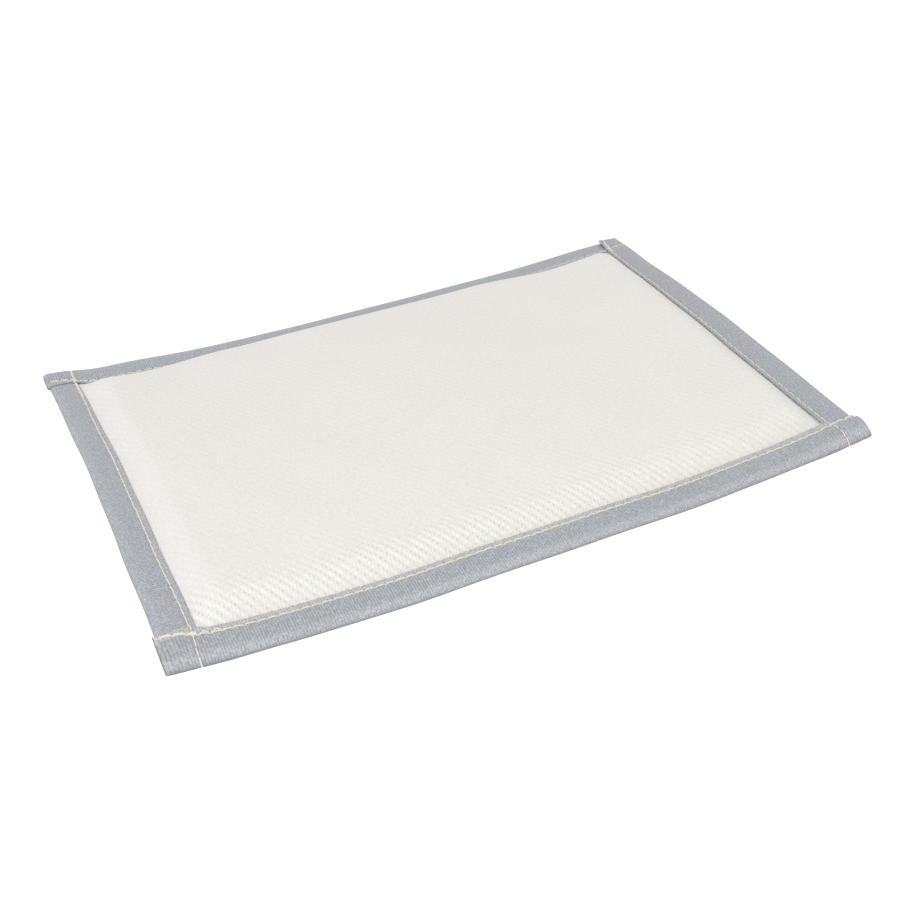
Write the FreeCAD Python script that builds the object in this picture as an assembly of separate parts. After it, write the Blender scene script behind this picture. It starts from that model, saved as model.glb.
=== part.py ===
"""Padded fire-resistant mat for charging and storing LiPo packs, in millimetres.

Two woven cloths hold two layers of needled felt. Four folded tapes bind the edges, and four
lockstitched seams hold them. The mat lies on its flat middle and both short ends curl up a little.

X runs along the mat, Y across it and Z up. The origin is under the middle, on the surface it lies on.
Heights in the mat are measured square to its underside: h = 0 is the underside of the padded middle.
Places along the mat are lengths s along that underside, so the curled ends keep their size.
"""
import FreeCAD, Part
import math
import os

# Overall size over the binding, before the ends curl
LENGTH = 300.0
WIDTH = 200.0
PAD_THICKNESS = 10.0

# How the ends curl: flat to CURL_START from the middle, then an arc
CURL_START = 50.0
CURL_RADIUS = 700.0

# Layers
CLOTH_THICKNESS = 0.9
TAPE_THICKNESS = 0.7
EDGE_CLEARANCE = 0.5      # the sewn edge stands this far above the surface
FELT_SPLIT = 5.0          # height where the lower felt meets the upper one

# Binding tape, 30 mm wide and folded in half over the edge
TAPE_COVER = 14.5         # how far each leg reaches in from the outer edge
TAPE_OVERHANG = 1.5       # how far a cut end stands past the tape that it covers
TAPE_STEP_RUN = 4.0       # length over which a tape climbs onto another
FOLD_RADIUS = 1.3         # outer radius of the folded edge
CLOTH_INSET = 1.4         # cloth edge inside the outer face of the fold
COVERED_END = 1.3         # from a covered tape's cut end to the outer edge

# Padded middle: the cloth rises from the tape's inner edge to the flat top
RISE_RUN = 10.0
SINK_RUN = 4.0
WALL_LEAN = 0.4           # how much further in the felt's room starts than the cloth's outer face

# Thread
THREAD_RADIUS = 0.42
STITCH_PITCH = 4.1
STITCH_LENGTH = 3.3
THREAD_CLEARANCE = 0.01   # between a stitch's flat and the tape, which curls away under it
SEAM_INSET_SIDES = 11.2   # left and right seams, from the outer edge
SEAM_INSET_FRONT = 12.3   # front seam, from the outer edge
SEAM_INSET_BACK = 9.5     # back seam, from the outer edge
SEAM_END = 1.0            # from a seam's last stitch to the outer edge
CROSSING_GAP = 0.75       # from a crossing seam's outer line to the nearest stitch
BACKTACK_SPACING = 1.0    # from a seam to the stitches sewn again beside its ends

# Working margins
SPARE = 5.0               # how far an outline runs on past the mat before it is trimmed
SAME = 1e-6               # lengths closer than this are equal

# Derived heights
TAPE_LOW = EDGE_CLEARANCE
CLOTH_LOW = TAPE_LOW + TAPE_THICKNESS
CLOTH_MIDDLE = CLOTH_LOW + CLOTH_THICKNESS
CLOTH_HIGH = CLOTH_MIDDLE + CLOTH_THICKNESS
TAPE_HIGH = CLOTH_HIGH + TAPE_THICKNESS
HALF_LENGTH = LENGTH / 2
HALF_WIDTH = WIDTH / 2
INNER_X = HALF_LENGTH - TAPE_COVER
INNER_Y = HALF_WIDTH - TAPE_COVER


def vec(x, y, z):
    return FreeCAD.Vector(x, y, z)


# ---------------------------------------------------------------- the curled underside

def place(s, y, h):
    """The point at length s along the mat, across y, at height h above the underside."""
    side = -1 if s < 0 else 1
    past = abs(s) - CURL_START
    if past <= 0:
        return vec(s, y, h)
    angle = past / CURL_RADIUS
    radius = CURL_RADIUS - h
    x = CURL_START + radius * math.sin(angle)
    return vec(side * x, y, CURL_RADIUS - radius * math.cos(angle))


def split_at_curls(s0, s1):
    """The stretch from s0 to s1 as pieces that are each all flat or all curled."""
    stops = sorted({s0, s1} | {c for c in (-CURL_START, CURL_START) if min(s0, s1) < c < max(s0, s1)})
    if s1 < s0:
        stops.reverse()
    return list(zip(stops, stops[1:]))


def run(s0, s1, y, h):
    """Edges that follow the mat from s0 to s1 at one height: lines where it is flat, arcs where it curls."""
    edges = []
    for a, b in split_at_curls(s0, s1):
        middle = (a + b) / 2
        start, end = place(a, y, h), place(b, y, h)
        if abs(middle) <= CURL_START:
            edges.append(Part.LineSegment(start, end).toShape())
        else:
            edges.append(Part.Arc(start, place(middle, y, h), end).toShape())
    return edges


def corner(before, point, after):
    """Start, middle and end of the arc that rounds a square corner, whose third value is the radius."""
    radius = point[2]

    def unit(a, b):
        du, dh = b[0] - a[0], b[1] - a[1]
        size = math.hypot(du, dh)
        return du / size, dh / size

    into, out = unit(before, point), unit(point, after)
    start = (point[0] - radius * into[0], point[1] - radius * into[1])
    end = (point[0] + radius * out[0], point[1] + radius * out[1])
    centre = (start[0] + radius * out[0], start[1] + radius * out[1])
    reach = radius / math.sqrt(2)
    middle = (centre[0] + reach * (into[0] - out[0]), centre[1] + reach * (into[1] - out[1]))
    return start, middle, end


def turns_of(points):
    """Each point of a closed outline as (start, middle, end): three points of an arc if it is rounded."""
    turns = []
    for i, point in enumerate(points):
        if len(point) == 3:
            turns.append(corner(points[i - 1], point, points[(i + 1) % len(points)]))
        else:
            turns.append((point, None, point))
    return turns


def outline_along(points, y):
    """A closed lengthways wire at one y from points (s, h). A side at one height follows the mat."""
    turns = turns_of(points)
    edges = []
    for (start, middle, end), (goal, _, _) in zip(turns, turns[1:] + turns[:1]):
        if middle:
            edges.append(Part.Arc(*(place(s, y, h) for s, h in (start, middle, end))).toShape())
        if abs(end[1] - goal[1]) < SAME:
            edges += run(end[0], goal[0], y, end[1])
        else:
            edges.append(Part.LineSegment(place(end[0], y, end[1]), place(goal[0], y, goal[1])).toShape())
    return Part.Wire(edges)


def outline_across(points, s):
    """A closed crosswise wire at one s, square to the mat, from points (y, h)."""
    turns = turns_of(points)
    edges = []
    for (start, middle, end), (goal, _, _) in zip(turns, turns[1:] + turns[:1]):
        if middle:
            edges.append(Part.Arc(*(place(s, y, h) for y, h in (start, middle, end))).toShape())
        edges.append(Part.LineSegment(place(s, *end), place(s, *goal)).toShape())
    return Part.Wire(edges)


def prism_along(points, y0, y1):
    """The lengthways outline, extended across the mat from y0 to y1."""
    return Part.Face(outline_along(points, y0)).extrude(vec(0, y1 - y0, 0))


def join(pieces):
    """One solid from pieces that touch."""
    if len(pieces) == 1:
        return pieces[0]
    return pieces[0].fuse(pieces[1:]).removeSplitter()


def sweep_across(points, s0, s1):
    """The crosswise outline, swept along the mat from s0 to s1."""
    pieces = []
    for a, b in split_at_curls(s0, s1):
        face = Part.Face(outline_across(points, a))
        if abs(a + b) / 2 <= CURL_START:
            pieces.append(face.extrude(vec(b - a, 0, 0)))
        else:
            hub = vec(math.copysign(CURL_START, a + b), 0, CURL_RADIUS)
            pieces.append(face.revolve(hub, vec(0, -1, 0), math.degrees((b - a) / CURL_RADIUS)))
    return join(pieces)


# ---------------------------------------------------------------- cloths and felt

def above(base, low, high, half, edge):
    """Outline of a crowned layer: from base up to low at the edge and to high in the middle, at half."""
    return [(-edge, base), (edge, base), (edge, low), (half + RISE_RUN, low),
            (half, high), (-half, high), (-half - RISE_RUN, low), (-edge, low)]


def below(base, high, low, half, edge):
    """Outline of a sunk layer: from base down to high at the edge and to low in the middle, at half."""
    return [(-edge, base), (-edge, high), (-half - SINK_RUN, high), (-half, low),
            (half, low), (half + SINK_RUN, high), (edge, high), (edge, base)]


def bulge(base, top, half, foot):
    """Outline of the room under a crowned cloth."""
    return [(-foot, base), (foot, base), (half, top), (-half, top)]


def both_ways(shape_of, across, along):
    """The part shared by a crosswise outline swept along and a lengthways one extended across."""
    wide = sweep_across(shape_of(*across), -HALF_LENGTH - SPARE, HALF_LENGTH + SPARE)
    long = prism_along(shape_of(*along), -HALF_WIDTH - SPARE, HALF_WIDTH + SPARE)
    return wide.common(long)


CROWN_Y = INNER_Y - RISE_RUN
CROWN_X = INNER_X - RISE_RUN
EDGE_Y = HALF_WIDTH - CLOTH_INSET
EDGE_X = HALF_LENGTH - CLOTH_INSET
SUNK_Y = INNER_Y - SINK_RUN
SUNK_X = INNER_X - SINK_RUN


def upper_room():
    top = PAD_THICKNESS - CLOTH_THICKNESS
    return both_ways(bulge, (CLOTH_MIDDLE, top, CROWN_Y - WALL_LEAN, INNER_Y - WALL_LEAN),
                     (CLOTH_MIDDLE, top, CROWN_X - WALL_LEAN, INNER_X - WALL_LEAN))


def lower_room():
    floor = CLOTH_THICKNESS

    def dish(half, foot):
        return [(-half, floor), (half, floor), (foot, CLOTH_MIDDLE), (-foot, CLOTH_MIDDLE)]

    return both_ways(dish, (SUNK_Y - WALL_LEAN, INNER_Y - WALL_LEAN),
                     (SUNK_X - WALL_LEAN, INNER_X - WALL_LEAN))


def make_top_cloth():
    crown = both_ways(above, (CLOTH_MIDDLE, CLOTH_HIGH, PAD_THICKNESS, CROWN_Y, EDGE_Y),
                      (CLOTH_MIDDLE, CLOTH_HIGH, PAD_THICKNESS, CROWN_X, EDGE_X))
    return crown.cut(upper_room())


def make_bottom_cloth():
    tray = both_ways(below, (CLOTH_MIDDLE, CLOTH_LOW, 0.0, SUNK_Y, EDGE_Y),
                     (CLOTH_MIDDLE, CLOTH_LOW, 0.0, SUNK_X, EDGE_X))
    return tray.cut(lower_room())


def slab(low, high):
    return prism_along([(-HALF_LENGTH, low), (HALF_LENGTH, low), (HALF_LENGTH, high), (-HALF_LENGTH, high)],
                       -HALF_WIDTH, HALF_WIDTH)


def make_felt_lower():
    room = lower_room().fuse(upper_room()).removeSplitter()
    return room.common(slab(0.0, FELT_SPLIT))


def make_felt_upper():
    return upper_room().common(slab(FELT_SPLIT, PAD_THICKNESS))


# ---------------------------------------------------------------- binding tapes

def fold_outline(side, half_size, inner, lift):
    """C-shaped outline of a tape folded over the edge at half_size, as (place, h) points.
    lift opens it to go over another tape."""
    out = side * (half_size + lift)
    fold = out - side * TAPE_THICKNESS
    inner = side * inner
    low, high = TAPE_LOW - lift, TAPE_HIGH + lift
    low_in, high_in = low + TAPE_THICKNESS, high - TAPE_THICKNESS
    tight = FOLD_RADIUS - TAPE_THICKNESS
    return [(inner, low), (out, low, FOLD_RADIUS), (out, high, FOLD_RADIUS), (inner, high),
            (inner, high_in), (fold, high_in, tight), (fold, low_in, tight), (inner, low_in)]


def folded_tape(outline, reach, over_low_end, over_high_end, outline_at, swept, inner):
    """A tape along one edge. outline(lift) is its section, outline_at(points, t) and swept(points, t0, t1)
    place it, and reach is where its covered ends stop. Over another tape it climbs and stands past it."""
    plain, raised = outline(0.0), outline(TAPE_THICKNESS)
    pieces = []
    stops = [-reach, reach]
    for end, sign, over in ((0, -1, over_low_end), (1, 1, over_high_end)):
        if not over:
            continue
        foot, top, tip = sign * (inner - TAPE_STEP_RUN), sign * inner, sign * over
        stops[end] = foot
        pieces.append(Part.makeLoft([outline_at(plain, foot), outline_at(raised, top)], True, True))
        pieces.append(swept(raised, min(top, tip), max(top, tip)))
    pieces.insert(0, swept(plain, *stops))
    return join(pieces)


def lengthways_tape(side, over_left, over_right):
    """The tape folded over the front (side -1) or back (side 1) edge."""
    tip = HALF_LENGTH + TAPE_OVERHANG
    return folded_tape(lambda lift: fold_outline(side, HALF_WIDTH, INNER_Y, lift), HALF_LENGTH - COVERED_END,
                       tip if over_left else None, tip if over_right else None,
                       outline_across, sweep_across, INNER_X)


def crosswise_tape(side, over_back):
    """The tape folded over the left (side -1) or right (side 1) edge."""
    tip = HALF_WIDTH + TAPE_OVERHANG
    return folded_tape(lambda lift: fold_outline(side, HALF_LENGTH, INNER_X, lift), HALF_WIDTH - COVERED_END,
                       None, tip if over_back else None, outline_along, prism_along, INNER_Y)


# ---------------------------------------------------------------- thread

def stitch(start, end, up):
    """One visible stitch from start to end: a half-round thread lying on the tape, facing up."""
    along = (end - start).normalize()
    across = along.cross(up).normalize()
    crest = along.cross(across).normalize() * -THREAD_RADIUS
    side = across * THREAD_RADIUS
    if crest.dot(up) < 0:
        crest = crest * -1
    arc = Part.Arc(start - side, start + crest, start + side).toShape()
    base = Part.LineSegment(start + side, start - side).toShape()
    return Part.Face(Part.Wire([arc, base])).extrude(end - start)


def stitch_row(runs, surface, up):
    """Stitches spread evenly along each run. A run is a pair of (t, h): the place along the seam and the
    tape's height there. surface(t, h) gives the point, and up(t) the way that the tape faces."""
    made = []
    share = STITCH_LENGTH / STITCH_PITCH
    for (t0, h0), (t1, h1) in runs:
        count = max(1, round((t1 - t0) / STITCH_PITCH))
        for i in range(count):
            a = (i + (1 - share) / 2) / count
            b = (i + (1 + share) / 2) / count
            start = surface(t0 + (t1 - t0) * a, h0 + (h1 - h0) * a)
            end = surface(t0 + (t1 - t0) * b, h0 + (h1 - h0) * b)
            made.append(stitch(start, end, up(t0 + (t1 - t0) * (a + b) / 2)))
    return made


def seam_runs(reach, crossings, climb):
    """The runs of a seam from -reach to reach, as pairs of (t, rise). They break beside each crossing
    seam and at both ends of each climb, where the tape's surface rises by its thickness."""
    foot, top = climb
    stops = {-reach, reach, -top, -foot, foot, top}
    gaps = []
    for crossing in crossings:
        side = math.copysign(1, crossing)
        near = crossing - side * CROSSING_GAP
        far = crossing + side * (BACKTACK_SPACING + CROSSING_GAP)
        gaps.append((min(near, far), max(near, far)))
        stops |= {near, far}
    stops = sorted(stops)
    runs = []
    for a, b in zip(stops, stops[1:]):
        if any(low < (a + b) / 2 < high for low, high in gaps):
            continue
        rises = [TAPE_THICKNESS if abs(t) > top - SAME else 0.0 for t in (a, b)]
        runs.append(((a, rises[0]), (b, rises[1])))
    return runs


def seam_thread(runs, place_at, face, up):
    """The stitches of one seam on one face: 1 is the top, -1 the underside. The runs at its two ends are
    sewn again beside it. place_at(t, offset, h) gives a point, and up(t) the way that the top faces."""
    base = TAPE_HIGH + THREAD_CLEARANCE if face > 0 else TAPE_LOW - THREAD_CLEARANCE

    def row(some_runs, offset):
        lifted = [((a, base + face * ra), (b, base + face * rb)) for (a, ra), (b, rb) in some_runs]
        return stitch_row(lifted, lambda t, h: place_at(t, offset, h), lambda t: up(t) * face)

    return Part.makeCompound(row(runs, 0.0) + row([runs[0], runs[-1]], BACKTACK_SPACING))


def up_at(s):
    return (place(s, 0, 1) - place(s, 0, 0)).normalize()


SEAM_SIDES = HALF_LENGTH - SEAM_INSET_SIDES
SEAM_FRONT = -HALF_WIDTH + SEAM_INSET_FRONT
SEAM_BACK = HALF_WIDTH - SEAM_INSET_BACK


def lengthways_thread(seam_y, face):
    side = math.copysign(1, seam_y)
    runs = seam_runs(HALF_LENGTH - SEAM_END, (-SEAM_SIDES, SEAM_SIDES), (INNER_X - TAPE_STEP_RUN, INNER_X))
    return seam_thread(runs, lambda t, offset, h: place(t, seam_y + side * offset, h), face, up_at)


def crosswise_thread(side, face):
    seam = side * SEAM_SIDES
    runs = seam_runs(HALF_WIDTH - SEAM_END, (SEAM_FRONT, SEAM_BACK), (INNER_Y - TAPE_STEP_RUN, INNER_Y))
    return seam_thread(runs, lambda t, offset, h: place(seam + side * offset, t, h), face,
                       lambda t: up_at(seam))


# ---------------------------------------------------------------- the parts

def build():
    parts = {
        "top_cloth": make_top_cloth(),
        "bottom_cloth": make_bottom_cloth(),
        "felt_upper": make_felt_upper(),
        "felt_lower": make_felt_lower(),
        "binding_left": crosswise_tape(-1, False),
        "binding_right": crosswise_tape(1, True),
        "binding_back": lengthways_tape(1, True, False),
        "binding_front": lengthways_tape(-1, True, True),
    }
    for name, face in (("needle_thread", 1), ("bobbin_thread", -1)):
        parts[name + "_front"] = lengthways_thread(SEAM_FRONT, face)
        parts[name + "_back"] = lengthways_thread(SEAM_BACK, face)
        parts[name + "_left"] = crosswise_thread(-1, face)
        parts[name + "_right"] = crosswise_thread(1, face)
    return parts


os.makedirs("parts", exist_ok=True)
for node, shape in build().items():
    shape.exportStep(f"parts/{node}.step")
    box = shape.BoundBox
    print(f"{node}: {len(shape.Solids)} solids, valid {shape.isValid()}, {shape.Volume:.0f} mm3,"
          f" z {box.ZMin:.2f} to {box.ZMax:.2f}")
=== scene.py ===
"""Looks of the padded fire-resistant mat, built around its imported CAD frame.

Shapes are worked out in millimetres on the flat mat and then carried onto its curled underside.
A place on the mat is (s, y, h): s along it and y across it on the underside, and h square to that.
"""
import math

import bpy
import numpy as np
from mathutils import Matrix, Vector

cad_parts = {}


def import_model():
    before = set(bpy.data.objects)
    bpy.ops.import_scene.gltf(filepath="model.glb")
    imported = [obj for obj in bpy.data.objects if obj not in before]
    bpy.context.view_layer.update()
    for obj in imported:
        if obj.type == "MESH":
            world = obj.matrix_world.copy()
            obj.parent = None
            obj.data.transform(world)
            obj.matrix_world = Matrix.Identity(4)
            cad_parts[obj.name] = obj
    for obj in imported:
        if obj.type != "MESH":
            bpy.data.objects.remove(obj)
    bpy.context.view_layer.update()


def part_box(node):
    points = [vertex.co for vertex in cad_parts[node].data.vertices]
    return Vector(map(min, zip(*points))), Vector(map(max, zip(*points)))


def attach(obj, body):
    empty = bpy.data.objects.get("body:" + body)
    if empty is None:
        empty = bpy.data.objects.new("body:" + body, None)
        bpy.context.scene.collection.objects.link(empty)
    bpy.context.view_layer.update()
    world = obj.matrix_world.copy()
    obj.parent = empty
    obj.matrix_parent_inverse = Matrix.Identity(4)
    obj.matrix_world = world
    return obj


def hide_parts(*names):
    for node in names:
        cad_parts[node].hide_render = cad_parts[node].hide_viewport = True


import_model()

MM = 0.001
BODY = "root"

# ------------------------------------------------ sizes shared with the CAD, in mm
HALF_LENGTH = 150.0
CLOTH_INSET = 1.4  # from the mat's outline in to the cloth's cut edge
HALF_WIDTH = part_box("top_cloth")[1].y / MM + CLOTH_INSET
TAPE_COVER = 14.5  # from the mat's outline in to the tape's inner edge
TAPE_THICKNESS = 0.7
TAPE_OVERHANG = 1.5  # a tape's cut end past the corner, where it lies on another tape
COVERED_END = 1.3  # a tape's cut end short of the corner, where another tape covers it
TAPE_STEP_RUN = 4.0  # length over which a tape climbs onto the one that it crosses
CLOTH_THICKNESS = 0.9
TAPE_LOW = 0.5
CLOTH_LOW = TAPE_LOW + TAPE_THICKNESS
CLOTH_MIDDLE = CLOTH_LOW + CLOTH_THICKNESS
CLOTH_HIGH = CLOTH_MIDDLE + CLOTH_THICKNESS
TAPE_HIGH = CLOTH_HIGH + TAPE_THICKNESS
PAD_THICKNESS = 10.0
FELT_SPLIT = 5.0  # height of the face between the two felts
INNER_X = HALF_LENGTH - TAPE_COVER
INNER_Y = HALF_WIDTH - TAPE_COVER

# ------------------------------------------------ the curl of the short ends
CURL_START = 50.0
CURL_RUN = HALF_LENGTH - CURL_START
CURL_CORNER = 5.5  # rise at the corners
CURL_BELLY = 3.35  # further rise at the middle of the short edges

# ------------------------------------------------ how the sewn edge lies
FOLD = (TAPE_HIGH - TAPE_LOW) / 2  # radius of the tape's fold
TAPE_WIDTH = 29.0  # what is left of the tape's width once it is folded and pressed
ARC = FOLD * math.pi / 2
LEG = TAPE_WIDTH / 2 - FOLD
SELVEDGE = ARC + LEG  # from the middle of the fold to the tape's own edge
SELVEDGE_RUN = 0.9  # the ribs fade out over this length
DROOP_RUN = 12.0
LOW_DROP = 0.4
BOW_RUN = 9.0
BOW_LIMIT = 1.2
GROOVE_DEPTH = 0.22
GROOVE_WIDTH = 1.2
GROOVE_PAST = 0.5  # length of the groove past its last hole
GROOVE_FADE = 0.8
HOLE_DEPTH = 0.32
HOLE_WIDTH = 0.7
TICK_DEPTH = 0.32  # the crease that runs in from each hole to the tape's inner edge
TICK_WIDTH = 0.42
TICK_REACH = 3.2
TICK_BACK = 0.8
PULL_LIMIT = 1.5  # in fold radii off the cloth's middle
NARROW_TAIL = 5.0  # the last stretch of a tape, which is at its end's width
STRAY_TAIL = 1.0
STEP_RUN = 0.9  # length of the step at another tape's edge
LIFT_START = 12.0  # from the end in to where a tape starts to lift
LIFT_RUN = 9.0
LIFT_WIDTH = 9.0  # from the fold to where the tape has its full lift
CORNER_START = 2.5  # from a lifted corner in to where it starts to be rounded
CORNER_RUN = 1.3
TIP_PINCH = 0.75  # share of its thickness that a cut end loses
TIP_PINCH_START = 0.7
TIP_PINCH_RUN = 2.2
CORNER_ROUND = 0.5  # how far a lifted corner is rounded, per mm of its lift
UNDER_NARROW = 2.0  # how many times as far a narrowing tape draws in underneath
PROUD_POWER = 1.5  # how late the tape's margin turns up
SELVEDGE_ROUND = 0.15
CURVE_END = 1.02  # an edge's sizes change up to this share of its half length
FOLD_STIFF_WIDTH = 5.0
FOLD_CLIMB_RUN = 26.0  # the fold is stiff, so it climbs more slowly than the tape's legs
PUFF_HEIGHT = 1.9
PUFF_PLACE = 3.0  # from the front tape's right end in to the highest place
PUFF_LENGTH = 11.0
PUFF_FULLNESS = 0.7
PUFF_FOOT = 0.22  # share of the puff's width that falls away to the seam

# Waves that lift the back edge, each with its place along the edge, its width and its rise.
BACK_WAVES = ((-131.0, 13.0, -1.6), (45.0, 45.0, 0.7), (85.0, 50.0, 0.9), (144.0, 12.0, -0.9))
BACK_WAVES_FROM = 70.0  # place across the mat
BACK_WAVES_RUN = 30.0

# Waves in mm, each with its height, its length along s and y over 2 pi, and where it starts.
SIDE_WAVES = ((0.22, math.inf, 17.0, 0.7), (0.12, 90.0, 7.3, 0.0))
LONG_WAVES = ((0.20, 23.0, math.inf, 1.9), (0.14, 9.1, 60.0, 0.0))
FELT_WAVES = ((0.16, 21.0, 34.0, 0.4), (0.12, 13.7, -19.0, 2.1), (0.08, 8.1, 11.3, 4.0))

# ------------------------------------------------ the padded middle
DOME_HEIGHT = 0.5
SINK_RUN = 5.0
FULL_FROM, FULL_IN = -118.0, 45.0  # where the felt starts to fill the back wall, and over what length
FULL_TO, FULL_OUT = 112.0, 55.0
WALL_PINCH = 1.4  # how much closer together the cloth's points are at its wall
WALL_PLACE = 1.5
WALL_WIDTH = 4.0
HIDDEN_STRIDE = 4  # a hidden face has every fourth point of the visible one
PILLOW_MARGIN = 3.0  # how far under the tapes the simulated pillow reaches
PINNED_PAST = 0.5  # how far past the tapes' inner edges it is held
SWELL_CELL = 3.0
SWELL_FRAMES = 20
SWELL_SHARE = 0.12
SWELL_CAP = 1.5
SLACK = 0.08  # air between cloth and felt
FELT_GAP = 0.05  # half of the air between the two felts
LEAST_FELT = 0.02
FELT_INSET = 0.6
FELT_WALL = 4.0

# ------------------------------------------------ thread
STITCH_PITCH = 4.1
HOLE_STRAY = 0.22
SEAM_END = 0.4  # from the tape's cut end to its seam's last hole
WRAP_LENGTH = 1.7  # how far past the outline a covered seam runs, round the other tape's fold
WRAP_TURN = 2.0  # radians
THREAD_LIFT = 0.1015  # how far a stitch's middle stands above the tape's face
THREAD_RADII = {"front": 0.33, "back": 0.22, "left": 0.28, "right": 0.26}
TWIST_PITCH = 2.6
THREAD_SIDES = 12
PLY_DEPTH = 0.16
PATH_STEPS = 6.0  # points to a mm
HOLE_REACH = 0.5  # a stretch of seam takes holes this far past its ends
DIVE_SHARPNESS = 3.4  # how late a stitch dives, per mm of its length
STITCH_LEAN = (0.03, 0.15)
STITCH_DRIFT = 0.06

# ------------------------------------------------ weave and ribs
WARP_PITCH = 0.985
WARP_LEAN = 0.10
WEFT_PITCH = 1.38
WEFT_LEAN = 0.13
OPEN_WEAVE = 1.0
CLOSE_WEAVE = 0.15
BEND_PLACE = 4.0  # from the front wall's foot in to where the cloth bends down
BEND_WIDTH = 9.0
CALM_FROM, CALM_RUN, CALM_SHARE = 10.0, 110.0, 0.6  # the weave opens less towards the right
RIB_PITCH = 1.08
RIB_HEIGHT = 0.05
RIB_FLOOR = 0.6  # near a rib's mean height, so that the ribs don't thicken the tape
SCALLOP = 0.10  # the ribs' ends at the selvedge
YARN_PITCH = 0.55
SEAM_MARGIN = 2.7
# per edge, the share of painted highlight on its tape's fold and inside its seam; most on the front, which
# faces the key light
PAINTED_HIGHLIGHT_SHARE = {"front": 0.6, "back": 0.2, "left": 0.2, "right": 0.1}


def smooth(x):
    """0 below 0, 1 above 1 and an S between."""
    x = np.clip(x, 0.0, 1.0)
    return x * x * (3 - 2 * x)


def bell(x, width):
    """1 at 0, falling to 0 on both sides over about twice the width."""
    return np.exp(-(x / width) ** 2)


def ripples(s, y, waves):
    """The sum of several waves at a place."""
    return sum(height * np.sin(s / long + y / wide + start) for height, long, wide, start in waves)


# ------------------------------------------------ the four bound edges

def holes_of(low, high, seed):
    """Places of the needle holes along a seam, close to evenly spaced."""
    count = round((high - low) / STITCH_PITCH)
    places = np.linspace(low, high, count + 1)
    random = np.random.default_rng(seed)
    return places + random.uniform(-HOLE_STRAY, HOLE_STRAY, len(places))


class Edge:
    """One bound edge, with its sizes in mm at the low end, the middle and the high end: how far in from the
    outer side the tape's upper leg and its seam reach (cover, seam), how far the tape's inner edge stands
    up (proud), and how far the outer side sinks and bows out (drop, bow). At its two ends: how far the tape
    stands past the corner, or with a minus stops short of it, where it covers another one (over), how much
    narrower it gets (narrow), how far its seam strays inward (stray), and how far its inner corner lifts
    off the tape under it and is rounded (lift). Width and seam change over a length of run."""

    def __init__(self, name, lengthways, side, cover, seam, proud, drop, bow, over, narrow, stray, lift,
                 run, seed):
        self.name = name
        self.lengthways = lengthways
        self.side = side
        self.half, self.reach = (HALF_WIDTH, HALF_LENGTH) if lengthways else (HALF_LENGTH, HALF_WIDTH)
        self.covers, self.seams, self.prouds, self.drops, self.bows = cover, seam, proud, drop, bow
        self.over, self.narrow, self.stray, self.lifts = over, narrow, stray, lift
        self.run = run
        # A tape end that stops short has its last hole further in.
        ends = [SEAM_END - 2 * min(past, 0) if past else -WRAP_LENGTH for past in over]
        self.holes = holes_of(-self.reach + ends[0], self.reach - ends[1], seed)

    def between(self, values, along):
        """The curve through three values at the low end, the middle and the high end."""
        low, middle, high = values
        u = np.clip(np.asarray(along, float) / self.reach, -CURVE_END, CURVE_END)
        return middle + (high - low) / 2 * u + (high + low - 2 * middle) / 2 * u * u

    def at_ends(self, values, along, start, run):
        """A change at the edge's two ends, growing from start mm before the end over a length of run."""
        low, high = values
        along = np.asarray(along, float)
        past = along - np.sign(along) * (self.reach - start)
        return low * smooth(-past / run) * (along < 0) + high * smooth(past / run) * (along > 0)

    def cover(self, along):
        """Distance from the outer side in to the tape's inner edge."""
        change = self.at_ends(self.narrow, along, self.run + NARROW_TAIL, self.run)
        return self.between(self.covers, along) - change

    def seam(self, along):
        """Distance from the outer side in to the seam."""
        change = self.at_ends(self.stray, along, self.run + STRAY_TAIL, self.run)
        return self.between(self.seams, along) + change

    def proud(self, along):
        """How far the tape's inner edge stands up."""
        return self.between(self.prouds, along)

    def lift(self, along, inward):
        """How far this tape's end lifts off the tape that it covers."""
        return self.at_ends(self.lifts, along, LIFT_START, LIFT_RUN) * smooth(inward / LIFT_WIDTH)

    def split(self, s, y):
        """Place along the edge, and distance in from its outer side."""
        along, across = (s, y) if self.lengthways else (y, s)
        return along, self.half - self.side * across

    def place(self, along, inward):
        """Place on the mat of a point along this edge and in from its outer side."""
        across = self.side * (self.half - inward)
        return (along, across) if self.lengthways else (across, along)

    def gap(self, along):
        """Distance to the nearest hole."""
        i = np.clip(np.searchsorted(self.holes, along), 1, len(self.holes) - 1)
        return np.minimum(np.abs(along - self.holes[i - 1]), np.abs(self.holes[i] - along))

    def crossings(self):
        """For the low end and the high end: its sign, how far this tape stands past the corner there (0
        where it is covered), the other tape's edge, and how far along this edge that tape begins."""
        for sign, past, other in zip((-1, 1), self.over, CROSSINGS[self.name]):
            yield sign, past, other, self.reach - other.cover(self.side * self.half)

    def climb(self, along, run):
        """How much higher this tape lies where it covers another one, climbing over a length of run."""
        total = np.zeros(np.shape(along))
        for sign, past, _, inner in self.crossings():
            if past:
                total = total + smooth((sign * along - inner) / run + 1)
        return total * TAPE_THICKNESS

    def seam_rise(self, along):
        """How much higher the surface under this seam is where tapes cross. Its own tape climbs slowly,
        and another tape's edge is a step."""
        total = self.climb(along, TAPE_STEP_RUN) + self.lift(along, self.seam(along))
        for sign, past, other, inner in self.crossings():
            if not past:
                step = smooth((sign * along - inner) / STEP_RUN + 0.5)
                lift = other.lift(self.side * (self.half - self.seam(along)), self.reach - sign * along)
                total = total + (TAPE_THICKNESS + lift) * step
        return total


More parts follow.
